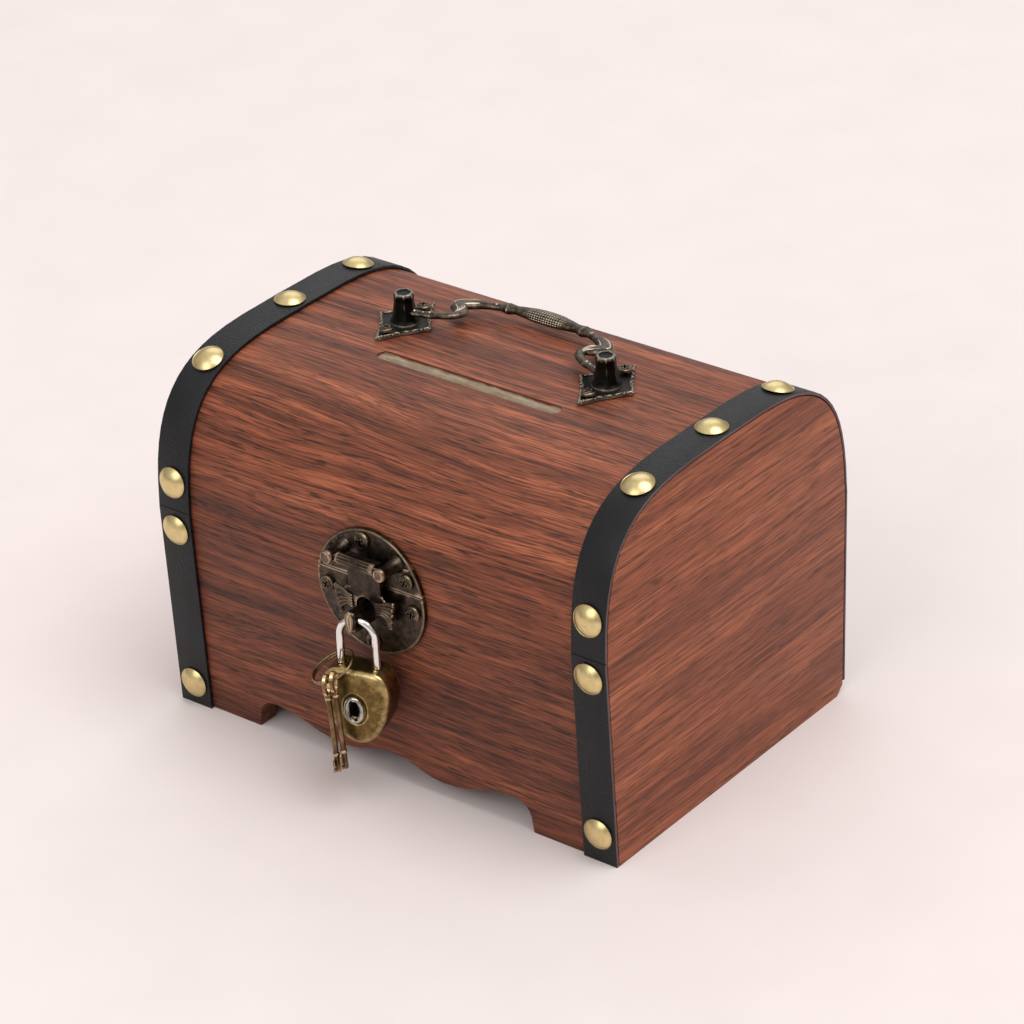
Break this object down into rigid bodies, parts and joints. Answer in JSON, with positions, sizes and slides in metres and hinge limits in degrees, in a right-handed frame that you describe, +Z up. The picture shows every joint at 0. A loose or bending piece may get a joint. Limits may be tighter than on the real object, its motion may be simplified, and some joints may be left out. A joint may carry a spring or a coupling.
{
  "type": "wooden money box",
  "caption": "Arch-topped wooden money box with a coin slot, black straps, domed nails, a carrying handle, a hasp and a small padlock with keys.",
  "frame": {"origin": "under the middle of the whole object's box, on the surface it stands on", "axes": "+Z up, -Y out of the front with the hasp, +X along the box to the right-hand end"},
  "size_m": [0.1694, 0.1462, 0.1262],
  "materials": {
    "stained_wood": "satin reddish-brown stain over fine streaked grain",
    "strap_leather": "black, finely pebbled",
    "pale_brass": "polished pale brass",
    "antique_bronze": "dark antique bronze with worn bright edges",
    "lock_brass": "antiqued olive brass",
    "bright_chrome": "polished",
    "key_brass": "antiqued brass"
  },
  "bodies": {
    "case": {"front_panel": "stained_wood", "back_panel": "stained_wood", "left_end_panel": "stained_wood", "right_end_panel": "stained_wood", "bottom_panel": "stained_wood", "left_front_strap": "strap_leather", "left_back_strap": "strap_leather", "right_front_strap": "strap_leather", "right_back_strap": "strap_leather", "nail_left_front_1": "pale_brass", "nail_left_front_2": "pale_brass", "nail_left_back_1": "pale_brass", "nail_left_back_2": "pale_brass", "nail_right_front_1": "pale_brass", "nail_right_front_2": "pale_brass", "nail_right_back_1": "pale_brass", "nail_right_back_2": "pale_brass", "left_hinge_case_leaf": "antique_bronze", "right_hinge_case_leaf": "antique_bronze", "hasp_lower_plate": "antique_bronze", "hasp_lower_screw_1": "antique_bronze", "hasp_lower_screw_2": "antique_bronze", "hasp_lower_screw_3": "antique_bronze"},
    "lid": {"lid_skin": "stained_wood", "lid_left_end": "stained_wood", "lid_right_end": "stained_wood", "left_lid_strap": "strap_leather", "right_lid_strap": "strap_leather", "nail_left_lid_1": "pale_brass", "nail_left_lid_2": "pale_brass", "nail_left_lid_3": "pale_brass", "nail_left_lid_4": "pale_brass", "nail_left_lid_5": "pale_brass", "nail_right_lid_1": "pale_brass", "nail_right_lid_2": "pale_brass", "nail_right_lid_3": "pale_brass", "nail_right_lid_4": "pale_brass", "nail_right_lid_5": "pale_brass", "left_hinge_lid_leaf": "antique_bronze", "right_hinge_lid_leaf": "antique_bronze", "left_handle_bracket": "antique_bronze", "right_handle_bracket": "antique_bronze", "handle_screw_left_front": "antique_bronze", "handle_screw_left_back": "antique_bronze", "handle_screw_right_front": "antique_bronze", "handle_screw_right_back": "antique_bronze", "hasp_upper_plate": "antique_bronze", "hasp_pin": "antique_bronze", "hasp_upper_screw_1": "antique_bronze", "hasp_upper_screw_2": "antique_bronze", "hasp_upper_screw_3": "antique_bronze"},
    "bail": {"handle_bail": "antique_bronze"},
    "leaf": {"hasp_leaf": "antique_bronze"},
    "shackle": {"padlock_shackle": "bright_chrome"},
    "lock": {"padlock_body": "lock_brass", "padlock_collar": "bright_chrome"},
    "plug": {"padlock_plug": "bright_chrome"},
    "ring": {"key_ring": "key_brass"},
    "first_key": {"key_1": "key_brass"},
    "second_key": {"key_2": "key_brass"}
  },
  "joints": [
    {"name": "lid_hinge", "type": "hinge", "parent": "case", "child": "lid", "pos_m": [0, 0.0712, 0.07015], "axis": [-1, 0, 0], "range_deg": [0, 95]},
    {"name": "handle_swing", "type": "hinge", "parent": "lid", "child": "bail", "pos_m": [-0.0013, 0.0148, 0.1202], "axis": [1, 0, 0], "range_deg": [0, 180]},
    {"name": "hasp_play", "type": "hinge", "parent": "lid", "child": "leaf", "pos_m": [-0.0013, -0.0581, 0.0785], "axis": [-1, 0, 0], "range_deg": [0, 5]},
    {"name": "padlock_swing", "type": "hinge", "parent": "case", "child": "shackle", "pos_m": [-0.0013, -0.06, 0.06035], "axis": [-0.9659, -0.2588, 0], "range_deg": [0, 50]},
    {"name": "padlock_release", "type": "slide", "parent": "shackle", "child": "lock", "axis": [0, 0, -1], "range_m": [0, 0.0045]},
    {"name": "key_turn", "type": "hinge", "parent": "lock", "child": "plug", "pos_m": [0.00006, -0.06507, 0.03255], "axis": [0.2588, -0.9659, 0], "range_deg": [0, 90]},
    {"name": "key_ring_lift", "type": "hinge", "parent": "shackle", "child": "ring", "pos_m": [-0.00685, -0.06149, 0.04555], "axis": [-0.6186, 0.7857, 0], "range_deg": [0, 15]},
    {"name": "key_1_swing", "type": "hinge", "parent": "ring", "child": "first_key", "pos_m": [-0.00521, -0.07075, 0.04324], "axis": [-0.9659, -0.2588, 0], "range_deg": [0, 25]},
    {"name": "key_2_swing", "type": "hinge", "parent": "ring", "child": "second_key", "pos_m": [-0.00324, -0.06964, 0.04441], "axis": [-0.9659, -0.2588, 0], "range_deg": [0, 25]}
  ]
}
